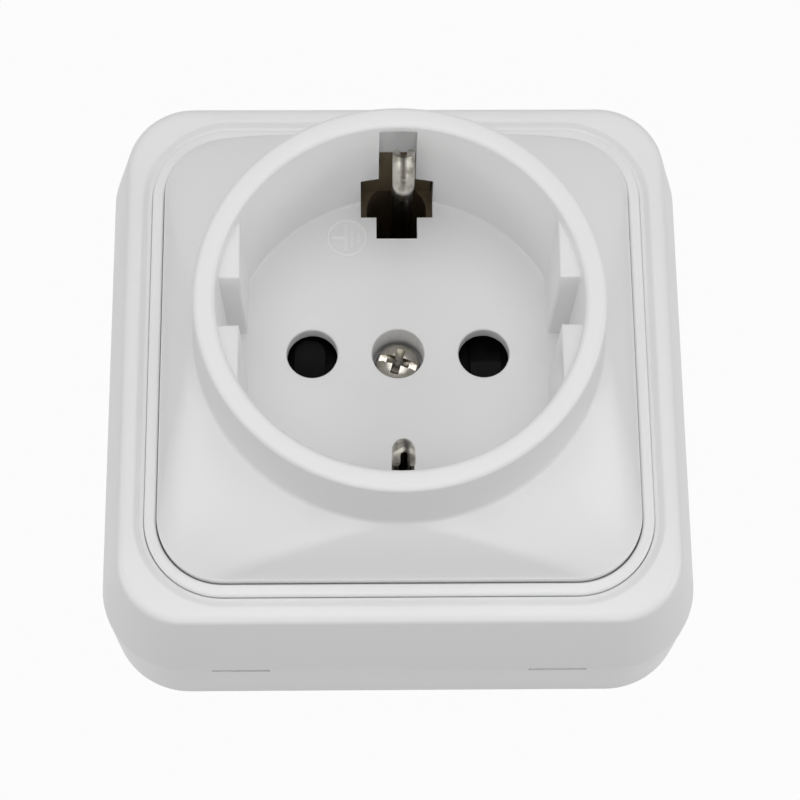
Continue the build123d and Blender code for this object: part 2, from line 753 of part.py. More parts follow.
terminal_screw_right = terminal_screw(terminal_x, -terminal_y)
terminal_screw_right.part.label = "terminal_screw_right"
export_step(terminal_screw_right.part, "parts/terminal_screw_right.step")

earth_screw = terminal_screw(-terminal_x, terminal_y)
earth_screw.part.label = "earth_screw"
export_step(earth_screw.part, "parts/earth_screw.step")

# Earth strap: flat under the carrier, stepped up to the earth terminal on the left
rivet_y = clip_stem_y - 2.3
tab_half = terminal_size / 2
step_x = -terminal_x + tab_half + 1
with BuildPart() as earth_strap:
    with BuildSketch(Plane.XZ.offset(-terminal_y)):
        with BuildLine():
            Polyline(
                (0, base_thickness),
                (step_x, base_thickness),
                (step_x, terminal_seat),
                (-terminal_x - tab_half, terminal_seat),
                (-terminal_x - tab_half, terminal_seat + strip_thickness),
                (step_x + strip_thickness, terminal_seat + strip_thickness),
                (step_x + strip_thickness, strap_top),
                (0, strap_top),
                close=True,
            )
        make_face()
    extrude(amount=tab_half, both=True)
    with BuildSketch(Plane.XY.offset(terminal_seat)):
        with Locations((-terminal_x, terminal_y)):
            Circle(terminal_screw_radius + thread_play)
    extrude(amount=strip_thickness, mode=Mode.SUBTRACT)
    with BuildSketch(Plane.XY.offset(base_thickness)):
        RectangleRounded(strap_width, 2 * strap_half_length, 1)
    extrude(amount=strip_thickness)
    with BuildSketch(Plane.XY.offset(base_thickness)):
        Circle(screw_radius + 0.6)
        with Locations((clip_side_shift, rivet_y), (clip_side_shift, -rivet_y)):
            Circle(rivet_radius)
    extrude(amount=strip_thickness, mode=Mode.SUBTRACT)
earth_strap.part.label = "earth_strap"
export_step(earth_strap.part, "parts/earth_strap.step")

# Earth clips: a strip rolled to an open tube, bowed in towards the plug, on a riveted foot
with BuildPart() as earth_clip_upper:
    middle = clip_depth / 2
    with BuildLine(Plane.YZ.offset(clip_side_shift)) as bow:
        FilletPolyline(
            (clip_stem_y + middle, strap_top + clip_sheet / 2),
            (clip_stem_y + middle, overall_height - clip_knee_drop),
            (clip_nose_y + middle - 0.25, overall_height - clip_nose_drop),
            (clip_tip_y + middle, overall_height - clip_tip_drop),
            radius=2 * clip_bend_radius,
        )
    with BuildSketch(Plane(bow.line @ 0, x_dir=(1, 0, 0), z_dir=(0, 0, 1))):
        SlotOverall(clip_width, clip_depth)
        SlotOverall(clip_width - 2 * clip_sheet, clip_depth - 2 * clip_sheet, mode=Mode.SUBTRACT)
        with Locations((0, middle)):
            Rectangle(clip_seam, clip_depth, mode=Mode.SUBTRACT)
    sweep(path=bow.line)
    foot_back = clip_stem_y + clip_depth
    with BuildSketch(Plane.XY.offset(strap_top)):
        with Locations((clip_side_shift, foot_back - clip_foot_length / 2)):
            RectangleRounded(clip_foot_width, clip_foot_length, 0.8)
        with Locations((clip_side_shift, rivet_y)):
            Circle(rivet_radius, mode=Mode.SUBTRACT)
    extrude(amount=clip_sheet)
earth_clip_upper.part.label = "earth_clip_upper"
export_step(earth_clip_upper.part, "parts/earth_clip_upper.step")

with BuildPart() as earth_clip_lower:
    add(earth_clip_upper.part)
    mirror(about=Plane.XZ, mode=Mode.REPLACE)
earth_clip_lower.part.label = "earth_clip_lower"
export_step(earth_clip_lower.part, "parts/earth_clip_lower.step")

# Rivets through the strap and the feet of the clips
with BuildPart() as earth_rivets:
    with BuildSketch(Plane.XY.offset(base_thickness)):
        with Locations((clip_side_shift, rivet_y), (clip_side_shift, -rivet_y)):
            Circle(rivet_radius)
    extrude(amount=strip_thickness + clip_sheet)
    with BuildSketch(Plane.XY.offset(strap_top + clip_sheet)):
        with Locations((clip_side_shift, rivet_y), (clip_side_shift, -rivet_y)):
            Circle(rivet_head_radius)
    extrude(amount=rivet_head_height)
    fillet(earth_rivets.faces().group_by(Axis.Z)[-1].edges(), 0.35)
earth_rivets.part.label = "earth_rivets"
export_step(earth_rivets.part, "parts/earth_rivets.step")

# Shutter: a ring on the boss of the cover with two blades, each with a ramp for the pin to push
blade_floor = shutter_floor + shutter_play
blade_top = blade_floor + shutter_blade_thickness
blade_length = shutter_blade_front - shutter_blade_back
blade_middle = (shutter_blade_front + shutter_blade_back) / 2
with BuildPart() as shutter:
    with BuildSketch(Plane.XY.offset(blade_floor)):
        with Locations((-shutter_blade_radius, blade_middle), (shutter_blade_radius, -blade_middle)):
            Rectangle(2 * (shutter_blade_radius - shutter_hub_radius + 1), blade_length)
        Circle(shutter_blade_radius, mode=Mode.INTERSECT)
        Circle(shutter_hub_radius)
    extrude(amount=shutter_blade_thickness)
    with BuildSketch(Plane.XY.offset(blade_floor)):
        Circle(shutter_hub_radius)
    extrude(amount=shutter_height)
    with BuildSketch(Plane.YZ.offset(-ramp_offset - ramp_width / 2)):
        with BuildLine():
            Polyline(
                (shutter_blade_back, blade_top - 0.2),
                (ramp_tip_y, blade_top - 0.2),
                (ramp_tip_y, blade_floor + shutter_height),
                (ramp_tip_y - 2.4, blade_floor + shutter_height),
                (shutter_blade_back, blade_top + 0.3),
                close=True,
            )
        make_face()
    extrude(amount=ramp_width)
    with BuildSketch(Plane.YZ.offset(ramp_offset - ramp_width / 2)):
        with BuildLine():
            Polyline(
                (-shutter_blade_back, blade_top - 0.2),
                (-ramp_tip_y, blade_top - 0.2),
                (-ramp_tip_y, blade_floor + shutter_height),
                (-ramp_tip_y + 2.4, blade_floor + shutter_height),
                (-shutter_blade_back, blade_top + 0.3),
                close=True,
            )
        make_face()
    extrude(amount=ramp_width)
    ramp_corners = shutter.edges().filter_by(Axis.Z).filter_by_position(Axis.Z, blade_top, overall_height)
    ramp_corners = ramp_corners.filter_by(lambda e: abs(abs(e.center().Y) - ramp_tip_y) < 0.01)
    fillet(ramp_corners, ramp_width / 2 - 0.1)
    with BuildSketch(Plane.XY.offset(blade_floor)):
        Circle(screw_boss_radius + shutter_play)
        with Locations((-spring_coil_radius, 0)):
            Circle(0.7 * spring_wire)
    extrude(amount=shutter_height, mode=Mode.SUBTRACT)
shutter.part.label = "shutter"
export_step(shutter.part, "parts/shutter.step")

# Spring of the shutter: tilted half turns round the boss, one leg down in the carrier and one up in the shutter
coil_pitch = 1.1 * spring_wire
coil_start = spring_floor + spring_wire / 2
coil_end = coil_start + spring_half_turns * coil_pitch / 2
coil_end_x = spring_coil_radius if spring_half_turns % 2 == 0 else -spring_coil_radius
with BuildPart() as shutter_spring:
    for half_turn in range(spring_half_turns):
        side = spring_coil_radius if half_turn % 2 == 0 else -spring_coil_radius
        bulge = side * (1 + (coil_pitch / 4 / spring_coil_radius) ** 2) ** 0.5
        height = coil_start + half_turn * coil_pitch / 2
        with BuildLine() as arc:
            ThreePointArc((side, 0, height), (0, bulge, height + coil_pitch / 4), (-side, 0, height + coil_pitch / 2))
        with BuildSketch(Plane(arc.line @ 0, z_dir=arc.line % 0)):
            Circle(spring_wire / 2)
        sweep(path=arc.line)
    with Locations((spring_coil_radius, 0, coil_start), (coil_end_x, 0, coil_end)):
        Sphere(0.6 * spring_wire)
    with BuildSketch(Plane.XY.offset(spring_floor - spring_leg)):
        with Locations((spring_coil_radius, 0)):
            Circle(spring_wire / 2)
    extrude(amount=spring_leg + spring_wire / 2)
    with BuildSketch(Plane.XY.offset(coil_end)):
        with Locations((coil_end_x, 0)):
            Circle(spring_wire / 2)
    extrude(amount=shutter_floor + spring_leg - coil_end)
shutter_spring.part.label = "shutter_spring"
export_step(shutter_spring.part, "parts/shutter_spring.step")
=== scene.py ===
# %% [markdown]
# # A surface mounted socket
#
# The part is a white earthed socket that lies on its back: a square frame, a narrow raised ring, and a domed
# cover with a round well for the plug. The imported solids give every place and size. This script loads them,
# gives each one its finish, and lays finer pieces over the mouldings that the camera sees, because a moulding
# is smooth where the solids have flat facets.

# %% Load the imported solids
import json
import math

import bmesh
import bpy
from mathutils import Matrix, Vector


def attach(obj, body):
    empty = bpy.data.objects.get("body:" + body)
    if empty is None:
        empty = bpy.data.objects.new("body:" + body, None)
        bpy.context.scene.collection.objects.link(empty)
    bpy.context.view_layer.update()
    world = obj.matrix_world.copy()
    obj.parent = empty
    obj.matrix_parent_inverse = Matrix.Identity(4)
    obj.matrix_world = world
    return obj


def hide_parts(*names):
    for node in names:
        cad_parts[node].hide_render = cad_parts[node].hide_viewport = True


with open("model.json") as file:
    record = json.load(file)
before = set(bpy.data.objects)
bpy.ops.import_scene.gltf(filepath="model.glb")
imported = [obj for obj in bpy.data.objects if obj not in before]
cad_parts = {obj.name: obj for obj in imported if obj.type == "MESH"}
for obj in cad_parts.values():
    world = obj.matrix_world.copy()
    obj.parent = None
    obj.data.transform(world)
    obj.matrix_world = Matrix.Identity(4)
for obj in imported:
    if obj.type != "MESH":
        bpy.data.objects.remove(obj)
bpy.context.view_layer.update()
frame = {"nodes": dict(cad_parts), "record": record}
nodes = frame["nodes"]
MM = 0.001
print("solids:", len(nodes))

# %% [markdown]
# ## Camera
#
# A product photographer stands almost over the socket with a long lens. The camera could be placed by eye, but
# here its place comes from the outlines of the object: the circles of the well and the squares of the frame fix
# the height, the slight turn and the slight roll. The lens is long, so parallel edges stay nearly parallel.

# %% Camera
AIM = Vector((-0.17, -11.86, 40.0)) * MM
CAMERA_DISTANCE = 245.69 * MM
ELEVATION = math.radians(69.67)
AZIMUTH = math.radians(2.94)
ROLL = math.radians(2.52)
FOCAL_PIXELS = 2402.4
PHOTO_PIXELS = 800
SENSOR_WIDTH = 36.0

level = math.cos(ELEVATION)
forward = Vector((math.sin(AZIMUTH) * level, math.cos(AZIMUTH) * level, -math.sin(ELEVATION)))
right = forward.cross(Vector((0, 0, 1))).normalized()
up = right.cross(forward)
rolled_right = math.cos(ROLL) * right + math.sin(ROLL) * up
rolled_up = math.cos(ROLL) * up - math.sin(ROLL) * right

camera_data = bpy.data.cameras.new("studio_camera")
camera_data.sensor_width = SENSOR_WIDTH
camera_data.lens = FOCAL_PIXELS / PHOTO_PIXELS * SENSOR_WIDTH
camera_data.clip_start = 0.01
camera = bpy.data.objects.new("studio_camera", camera_data)
bpy.context.scene.collection.objects.link(camera)
turn = Matrix((rolled_right, rolled_up, -forward)).transposed().to_4x4()
camera.matrix_world = Matrix.Translation(AIM - CAMERA_DISTANCE * forward) @ turn
bpy.context.scene.camera = camera
print("camera at", [round(v, 4) for v in camera.matrix_world.translation])

# %% [markdown]
# ## Shader arithmetic
#
# A finish is a small calculation on patterns. Nodes could be linked one by one, but the sum is easier to read
# when it is written as a sum, so a small class wraps a socket and turns Python's operators into Math nodes.

# %% Shader arithmetic
class Signal:
    """A number in a shader, with Python's arithmetic on it."""

    def __init__(self, tree, socket):
        self.tree = tree
        self.socket = socket

    def combine(self, operation, first, second):
        return self.tree.node("ShaderNodeMath", {"operation": operation}, {0: first, 1: second})

    def __add__(self, other):
        return self.combine("ADD", self, other)

    __radd__ = __add__

    def __sub__(self, other):
        return self.combine("SUBTRACT", self, other)

    def __mul__(self, other):
        return self.combine("MULTIPLY", self, other)

    __rmul__ = __mul__

    def __pow__(self, other):
        return self.combine("POWER", self, other)


class Tree:
    """A node tree, with one method that adds any node to it."""

    def __init__(self, node_tree):
        self.nodes = node_tree.nodes
        self.links = node_tree.links

    def feed(self, socket, value):
        if isinstance(value, Signal):
            self.links.new(value.socket, socket)
        else:
            socket.default_value = value

    def node(self, kind, settings, inputs, output=0):
        """A node of any kind: its settings first, then the values or links of its sockets."""
        made = self.nodes.new(kind)
        for key, value in settings.items():
            setattr(made, key, value)
        for key, value in inputs.items():
            self.feed(made.inputs[key], value)
        return Signal(self, made.outputs[output])

    def seen_directly(self):
        """1 for rays that show the ground itself: from the camera, or by way of metal or glass."""
        ray = self.nodes.new("ShaderNodeLightPath")
        kinds = [Signal(self, ray.outputs[f"Is {kind} Ray"]) for kind in ("Camera", "Glossy", "Transmission")]
        return kinds[0] + kinds[1] + kinds[2]


class Finish(Tree):
    """A material under construction: a Principled shader and the nodes that feed it."""

    def __init__(self, name, **settings):
        self.material = bpy.data.materials.new(name)
        self.material.use_nodes = True
        super().__init__(self.material.node_tree)
        self.shader = self.nodes["Principled BSDF"]
        for socket_name, value in settings.items():
            self.set(socket_name.replace("_", " "), value)

    def set(self, socket_name, value):
        """Set or feed one socket of the Principled shader."""
        self.feed(self.shader.inputs[socket_name], value)

    def place(self):
        """The place on the object, in metres."""
        return self.node("ShaderNodeTexCoord", {}, {}, "Object")

    def axis(self, letter):
        """One coordinate of the place on the object, in metres."""
        return self.node("ShaderNodeSeparateXYZ", {}, {0: self.place()}, letter)

    def noise(self, scale, detail=2.0, stretch=None):
        where = self.place()
        if stretch:
            where = self.node("ShaderNodeMapping", {}, {"Vector": where, "Scale": stretch})
        inputs = {"Vector": where, "Scale": scale, "Detail": detail}
        return self.node("ShaderNodeTexNoise", {}, inputs, "Fac")

    def blend(self, mask, colour_a, colour_b):
        """Two colours mixed by a mask from 0 to 1."""
        made = self.nodes.new("ShaderNodeMix")
        made.data_type = "RGBA"
        self.feed(made.inputs[0], mask)
        self.feed(made.inputs[6], colour_a)
        self.feed(made.inputs[7], colour_b)
        return Signal(self, made.outputs[2])

    def held(self, value):
        """A value kept between 0 and 1."""
        return self.node("ShaderNodeClamp", {}, {0: value})

    def ramp(self, value, start, span):
        """0 up to start, then rising to 1 over span."""
        return self.held((value - start) * (1 / span))

    def relief(self, height, distance):
        """Bump of the surface, distance in metres for a height of 1."""
        inputs = {"Strength": 1.0, "Distance": distance, "Height": height}
        self.set("Normal", self.node("ShaderNodeBump", {}, inputs, "Normal"))


# %% [markdown]
# ## White moulding
#
# The frame, ring and cover are pressed in one glossy white resin, clean and new. A flat white looks like paper,
# so the gloss varies a little where the resin has flowed, the white drifts by a hair in brightness, and
# a very low ripple breaks up the reflections as a polished mould does.

# %% White moulding
white_moulding = Finish("white_moulding", IOR=1.5)
flow = white_moulding.noise(60, detail=3)
white_moulding.set("Base Color", white_moulding.blend(flow, (0.86, 0.86, 0.86, 1), (0.845, 0.845, 0.845, 1)))
white_moulding.set("Roughness", 0.27 + 0.08 * white_moulding.noise(180, detail=3))
ripple = white_moulding.noise(240, detail=1)
white_moulding.relief(ripple + 0.05 * white_moulding.noise(5000), 0.00001)
print("finish:", white_moulding.material.name)

# %% [markdown]
# ## Grey wall plate
#
# The wall plate is never seen in use. It is moulded in a plainer grey white resin with an eroded, matt surface,
# so it takes a rough finish with a fine grain.

# %% Grey wall plate
grey_moulding = Finish("grey_moulding")
grain = grey_moulding.noise(2500, detail=2)
clouding = grey_moulding.noise(50)
grey_moulding.set("Base Color", grey_moulding.blend(clouding, (0.60, 0.61, 0.62, 1), (0.56, 0.57, 0.58, 1)))
grey_moulding.set("Roughness", 0.5 + 0.12 * grain)
grey_moulding.relief(grain, 0.00002)

# %% [markdown]
# ## Brown phenolic
#
# The block that carries the contacts is hot pressed phenolic, dark brown, with wood flour in it. The filler
# shows as fine pale flecks and soft clouds, so two noises of very different scale mix three browns.

# %% Brown phenolic
brown_phenolic = Finish("brown_phenolic")
clouds = brown_phenolic.noise(160, detail=4)
flecks = brown_phenolic.noise(2200, detail=2) ** 3.0
body_brown = brown_phenolic.blend(clouds, (0.125, 0.093, 0.054, 1), (0.205, 0.160, 0.100, 1))
brown_phenolic.set("Base Color", brown_phenolic.blend(flecks, body_brown, (0.26, 0.20, 0.13, 1)))
brown_phenolic.set("Roughness", 0.38 + 0.2 * clouds)
brown_phenolic.relief(flecks, 0.00003)

# %% [markdown]
# ## Black shutter
#
# The shutter is a slippery black resin, because it rubs on the cover each time a plug goes in. It has a fine
# matt grain and faint polished streaks. Its black is set far darker than the resin itself, as painted shade
# for the deep pin holes.

# %% Black shutter
black_resin_painted_shade = Finish("black_resin_painted_shade", Specular_IOR_Level=0.06)
rubbed = black_resin_painted_shade.noise(900, detail=3)
# Painted shade: these blacks are darker than black resin, for the shade deep in the pin holes.
black_resin_painted_shade.set("Base Color", black_resin_painted_shade.blend(rubbed, (0.003, 0.003, 0.003, 1), (0.006, 0.006, 0.006, 1)))
black_resin_painted_shade.set("Roughness", 0.34 + 0.16 * rubbed)
black_resin_painted_shade.relief(black_resin_painted_shade.noise(3500), 0.00002)

# %% [markdown]
# ## Metals
#
# Three metals are inside: bright nickel on the screws, the clamps and the earth clips, yellow brass on the
# contacts and the strap, and drawn steel on the springs. All are full metals. Nickel has fine drawing lines
# along the strip and small dull clouds. On the clips a dark streak down the middle of the front is painted
# shade for a dark reflection, and below the front the nickel is darkened as painted shade. On the cover screw
# the nickel is worn in patches, and its side and the recess floor are darkened as painted shade. Brass is
# slightly tarnished in patches.

# %% Nickel
DRAWN_STRETCH = (6, 1, 0.4)
STREAK_STRETCH = (1, 1, 0.4)


def plated(name, bright, dull, least_roughness):
    """Drawn nickel, and the colour that it starts from."""
    finish = Finish(name, Metallic=1.0)
    drawn = finish.noise(900, detail=3, stretch=DRAWN_STRETCH)
    streaks = finish.noise(800, detail=3, stretch=STREAK_STRETCH)
    colour = finish.blend(finish.ramp(streaks, 0.42, 0.2), bright, dull)
    finish.set("Base Color", colour)
    finish.set("Roughness", least_roughness + 0.16 * drawn)
    finish.relief(drawn + finish.noise(1100, detail=2), 0.000012)
    return finish, colour


nickel, _ = plated("nickel_plate", (0.68, 0.66, 0.60, 1), (0.16, 0.15, 0.125, 1), 0.2)

# %% Nickel with painted shade on the clips
SHADE_STREAK_MIDDLE = 0.00052
SHADE_STREAK_HALF = 0.00042
SHADE_STREAK_LOW = 0.0352
SHADE_STREAK_SPAN = 0.0014
SHADED_SHANK_TOP = 0.0333
SHADED_SHANK_SPAN = 0.0010
clip_nickel_painted_shade, plain = plated("clip_nickel_painted_shade", (0.70, 0.68, 0.61, 1), (0.30, 0.28, 0.24, 1), 0.22)
# Painted shade: a dark streak down the middle of the clip's front stands in for a dark reflection, and the shank
# below the front is darkened because it lies in shade.
across = clip_nickel_painted_shade.axis("X") - SHADE_STREAK_MIDDLE
upward = clip_nickel_painted_shade.axis("Z")
beside_painted_streak_share = clip_nickel_painted_shade.held(across * across * (1 / SHADE_STREAK_HALF ** 2))
painted_streak_colour = clip_nickel_painted_shade.blend(clip_nickel_painted_shade.ramp(upward, SHADE_STREAK_LOW, SHADE_STREAK_SPAN), plain, (0.07, 0.066, 0.057, 1))
front_colour_with_painted_streak = clip_nickel_painted_shade.blend(beside_painted_streak_share, painted_streak_colour, plain)
above_painted_shank_share = clip_nickel_painted_shade.ramp(upward, SHADED_SHANK_TOP, SHADED_SHANK_SPAN)
clip_nickel_painted_shade.set("Base Color", clip_nickel_painted_shade.blend(above_painted_shank_share, (0.09, 0.085, 0.073, 1), front_colour_with_painted_streak))

# %% Worn nickel with painted shade on the screw
SCREW_SHADE_LEVEL = 0.0190
SCREW_SHADE_SPAN = 0.0007
worn_nickel_painted_shade = Finish("worn_nickel_painted_shade", Metallic=1.0)
# Painted shade: below this height the head's side and the recess floor turn nearly black, for the shade round the
# head and in the recess. The patches above are wear.
unshaded_share = worn_nickel_painted_shade.ramp(worn_nickel_painted_shade.axis("Z"), SCREW_SHADE_LEVEL, SCREW_SHADE_SPAN)
patches = worn_nickel_painted_shade.noise(700, detail=3)
plating = worn_nickel_painted_shade.blend(patches, (0.88, 0.85, 0.78, 1), (0.36, 0.34, 0.29, 1))
worn_nickel_painted_shade.set("Base Color", worn_nickel_painted_shade.blend(unshaded_share, (0.05, 0.047, 0.042, 1), plating))
worn_nickel_painted_shade.set("Roughness", 0.12 + 0.2 * patches)
worn_nickel_painted_shade.relief(worn_nickel_painted_shade.noise(1500, detail=2), 0.00004)

# %% Polished white with painted highlight
# The raised lines of the earth mark are glossier than the floor round them, and a little brighter in colour as a
# painted highlight.
polished_white_painted_highlight = Finish("polished_white_painted_highlight", Roughness=0.15)
# Painted highlight: a colour lighter than the white moulding makes the raised lines catch light.
polished_white_painted_highlight.set("Base Color", (0.94, 0.94, 0.94, 1))

# %% Brass
brass = Finish("stamped_brass", Metallic=1.0)
tarnish = brass.noise(300, detail=5)
brass.set("Base Color", brass.blend(tarnish, (0.78, 0.57, 0.26, 1), (0.55, 0.37, 0.16, 1)))
brass.set("Roughness", 0.2 + 0.22 * tarnish)
brass.relief(brass.noise(1500), 0.00001)

# %% Spring steel
spring_steel = Finish("spring_steel", Metallic=1.0)
scale_marks = spring_steel.noise(1200, detail=3)
spring_steel.set("Base Color", spring_steel.blend(scale_marks, (0.46, 0.46, 0.47, 1), (0.34, 0.34, 0.35, 1)))
spring_steel.set("Roughness", 0.24 + 0.2 * scale_marks)

# %% [markdown]
# ## Finishes on the solids
#
# Each solid names a material slot in its record, so the finish follows the slot and no solid is forgotten.

# %% Finishes on the solids
SLOT_FINISH = {
    "white_plastic": white_moulding,
    "grey_plastic": grey_moulding,
    "brown_phenolic": brown_phenolic,
    "black_plastic": black_resin_painted_shade,
    "nickel": nickel,
    "spring_steel": spring_steel,
    "brass": brass,
}
for subpart in frame["record"]["subparts"]:
    slots = nodes[subpart["node"]].data.materials
    slots.clear()
    slots.append(SLOT_FINISH[subpart["material_slot"]].material)

# %% [markdown]
# ## Making a piece
#
# Every new piece is shaped in millimetres, as the drawings of such a part are, and becomes metres at the end.
# It then sits at the origin with its place in its vertices, rides on a body and takes its finish.
# Holes are cut with the manifold boolean, which is quick and keeps a closed mesh closed.

# %% Making a piece
def solid(bm, name):
    """An object in millimetres from a closed bmesh, with its faces turned outwards."""
    bmesh.ops.recalc_face_normals(bm, faces=bm.faces)
    mesh = bpy.data.meshes.new(name)
    bm.to_mesh(mesh)
    bm.free()
    piece = bpy.data.objects.new(name, mesh)
    bpy.context.scene.collection.objects.link(piece)
    return piece


def apply_modifiers(piece):
    """Bake the modifiers of a piece into its mesh."""
    baked = bpy.data.meshes.new_from_object(piece.evaluated_get(bpy.context.evaluated_depsgraph_get()))
    piece.modifiers.clear()
    old = piece.data
    piece.data = baked
    bpy.data.meshes.remove(old)


def cut_with(piece, cutter, operation="DIFFERENCE"):
    """Cut a piece with a tool, or join the tool on, and throw the tool away."""
    modifier = piece.modifiers.new("cut", "BOOLEAN")
    modifier.operation = operation
    modifier.solver = "MANIFOLD"
    modifier.object = cutter
    apply_modifiers(piece)
    bpy.data.objects.remove(cutter)


def settle(piece, look, body="socket", replaced=(), crease_degrees=32):
    """Bring a finished piece to metres, smooth it, and give it its finish, body and solids."""
    piece.data.transform(Matrix.Scale(MM, 4))
    piece.data.shade_smooth()
    piece.data.set_sharp_from_angle(angle=math.radians(crease_degrees))
    piece.data.materials.clear()
    piece.data.materials.append(look.material)
    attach(piece, body)
    if replaced:
        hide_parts(*replaced)
    print(piece.name, "has", len(piece.data.polygons), "faces")


# %% [markdown]
# ## Rounded square rings
#
# The frame, the ring and the cover are all rounded squares that change with height. A loft by hand would list
# every vertex. Instead a square face has its corners bevelled to arcs, its face is taken away, and neighbouring
# rings are bridged. The same number of steps in each corner keeps the bridges straight, and a corner radius as
# large as the half width makes a circle, so the square dome can run into the round collar.

# %% Rounded square rings
CORNER_STEPS = 28
LARGEST_CORNER_SHARE = 0.9995
LEVEL_STEP = 0.004


def ring_edges(bm, half, corner, height):
    """One level rounded square of half width half and corner radius corner."""
    known = set(bm.edges)
    corner = min(corner, LARGEST_CORNER_SHARE * half)
    square = [bm.verts.new((x * half, y * half, height)) for x, y in ((1, 1), (-1, 1), (-1, -1), (1, -1))]
    bm.faces.new(square)
    bmesh.ops.bevel(
        bm, geom=square, offset=corner, offset_type="OFFSET", segments=CORNER_STEPS, profile=0.5,
        affect="VERTICES", material=-1,
    )
    made = [edge for edge in bm.edges if edge not in known]
    faces = list({face for edge in made for face in edge.link_faces})
    bmesh.ops.delete(bm, geom=faces, context="FACES_ONLY")
    return made


def ring_loft(sections):
    """Bridge a list of (half, corner, height) rings into one skin, and the last ring to the first."""
    bm = bmesh.new()
    rings = [ring_edges(bm, *section) for section in sections]
    for first, second in zip(rings, rings[1:]):
        bmesh.ops.bridge_loops(bm, edges=first + second)
    bmesh.ops.bridge_loops(bm, edges=rings[-1] + rings[0])
    return bm


def rounded_step(start, corner_point, end, radius, steps=5):
    """Points of a small arc that rounds corner_point between two straight runs, in (half, height)."""
    before = (Vector(start) - Vector(corner_point)).normalized()
    after = (Vector(end) - Vector(corner_point)).normalized()
    half_angle = before.angle(after) / 2
    reach = radius / math.tan(half_angle)
    centre = Vector(corner_point) + (before + after).normalized() * radius / math.sin(half_angle)
    first = Vector(corner_point) + before * reach - centre
    last = Vector(corner_point) + after * reach - centre
    whole = first.angle(last)
    points = []
    for step in range(steps + 1):
        angle = whole * step / steps
        points.append(centre + (math.sin(whole - angle) * first + math.sin(angle) * last) / math.sin(whole))
    return points


def rounded_profile(points):
    """Rings from (half, height, corner, radius) points, where radius rounds the profile at that point.

    On an arc the corner radius follows the half width, which keeps the arcs of the corner concentric. A bridge
    finds its direction from the step between two rings, so level runs fall by a few thousandths.
    """
    rings = []
    for index, (half, height, corner, radius) in enumerate(points):
        if radius:
            start, end = points[index - 1][:2], points[(index + 1) % len(points)][:2]
            for point in rounded_step(start, (half, height), end, radius):
                rings.append((point[0], corner + point[0] - half, point[1]))
        else:
            rings.append((half, corner, height))
    for index in range(1, len(rings)):
        half, corner, height = rings[index]
        if abs(height - rings[index - 1][2]) < LEVEL_STEP:
            rings[index] = (half, corner, rings[index - 1][2] - LEVEL_STEP)
    return rings


# %% [markdown]
# ## Frame
#
# The frame is one moulding. Its lower band is nearly upright, a soft crease runs round it, and the wall above
# leans in to a flat top with a rounded edge. Inside the flat a shallow valley falls towards the ring, and a
# ledge below carries the ring and the cover. The profile is drawn once as corners with their radii, and each
# point becomes a ring whose corner radius keeps the arcs concentric.

# %% Frame
FRAME_TOP = 22.5
CREASE = 11.5
LEDGE = 20.4
frame_points = [
    (30.65, 0.0, 6.9, 0), (32.65, 0.0, 8.9, 0.35), (33.0, CREASE, 9.5, 1.2), (30.45, FRAME_TOP, 7.25, 1.15),
    (29.2, FRAME_TOP, 6.6, 0), (28.75, FRAME_TOP, 9.8, 0.6), (28.15, 22.05, 9.2, 0.6), (27.7, 21.95, 8.75, 0.12),
    (27.7, LEDGE, 8.75, 0), (24.8, LEDGE, 5.7, 0.2), (24.8, 18.4, 5.7, 0.2), (29.49, 18.4, 6.4, 0),
    (31.0, CREASE, 7.5, 0),
]
frame_shell = solid(ring_loft(rounded_profile(frame_points)), "frame_shell")


def box_bmesh(blocks):
    """A bmesh of plain blocks, each given as its lowest and its highest corner in millimetres."""
    bm = bmesh.new()
    for low, high in blocks:
        size = Vector(high) - Vector(low)
        middle = (Vector(high) + Vector(low)) / 2
        verts = bmesh.ops.create_cube(bm, size=1)["verts"]
        bmesh.ops.scale(bm, vec=size, verts=verts)
        bmesh.ops.translate(bm, vec=middle, verts=verts)
    return bm


LATCH_X = 17.5
LATCH_HALF = 3.2
LATCH_LOW = 10.6
FRAME_HALF = 33
latch_slots = [
    ((x - LATCH_HALF, y - 4, LATCH_LOW), (x + LATCH_HALF, y + 4, CREASE))
    for x in (-LATCH_X, LATCH_X) for y in (-FRAME_HALF, FRAME_HALF)
]
cut_with(frame_shell, solid(box_bmesh(latch_slots), "latch_slots"))
settle(frame_shell, white_moulding, replaced=["cover_frame"])

# %% [markdown]
# ## Trim ring
#
# A separate thin square ring sits in a groove of the frame. Its top edges are rounded, so it catches a line of
# light, and the play round it shows as a dark hairline.

# %% Trim ring
RING_TOP = 22.7
RING_OUTSIDE = 27.62
RING_INSIDE = 26.34
ring_points = [
    (RING_INSIDE, LEDGE, 7.4, 0), (RING_OUTSIDE, LEDGE + 0.01, 8.67, 0),
    (RING_OUTSIDE, RING_TOP, 8.67, 0.32), (RING_INSIDE, RING_TOP, 7.4, 0.28),
]
ring_shell = solid(ring_loft(rounded_profile(ring_points)), "ring_shell")
settle(ring_shell, white_moulding, replaced=["trim_ring"])

# %% [markdown]
# ## Cover
#
# The cover is the piece that the eye goes to. One skin runs from the skirt over a small bevel, up the dome,
# through a soft fillet to the leaning collar, over the rounded rim and down the well to its floor, then back
# along the inside. The dome bulges between a square with rounded corners and a circle, so half width and
# corner radius both follow a smooth curve through three measured rings.

# %% Cover skin
RIM = 40.0
WELL_FLOOR = 22.8
FLOOR_UNDER = 21.0
DOME_FOOT = 23.55
DOME_TOP = 31.15
DOME_STEPS = 22
DOME_MIDDLE_SHARE = 0.52
SKIRT_HALF = 26.18
COLLAR_FOOT = 22.14
RIM_OUTSIDE = 21.65
RIM_INSIDE = 19.3
WELL_RADIUS = 18.85
FILLET_RINGS = 3


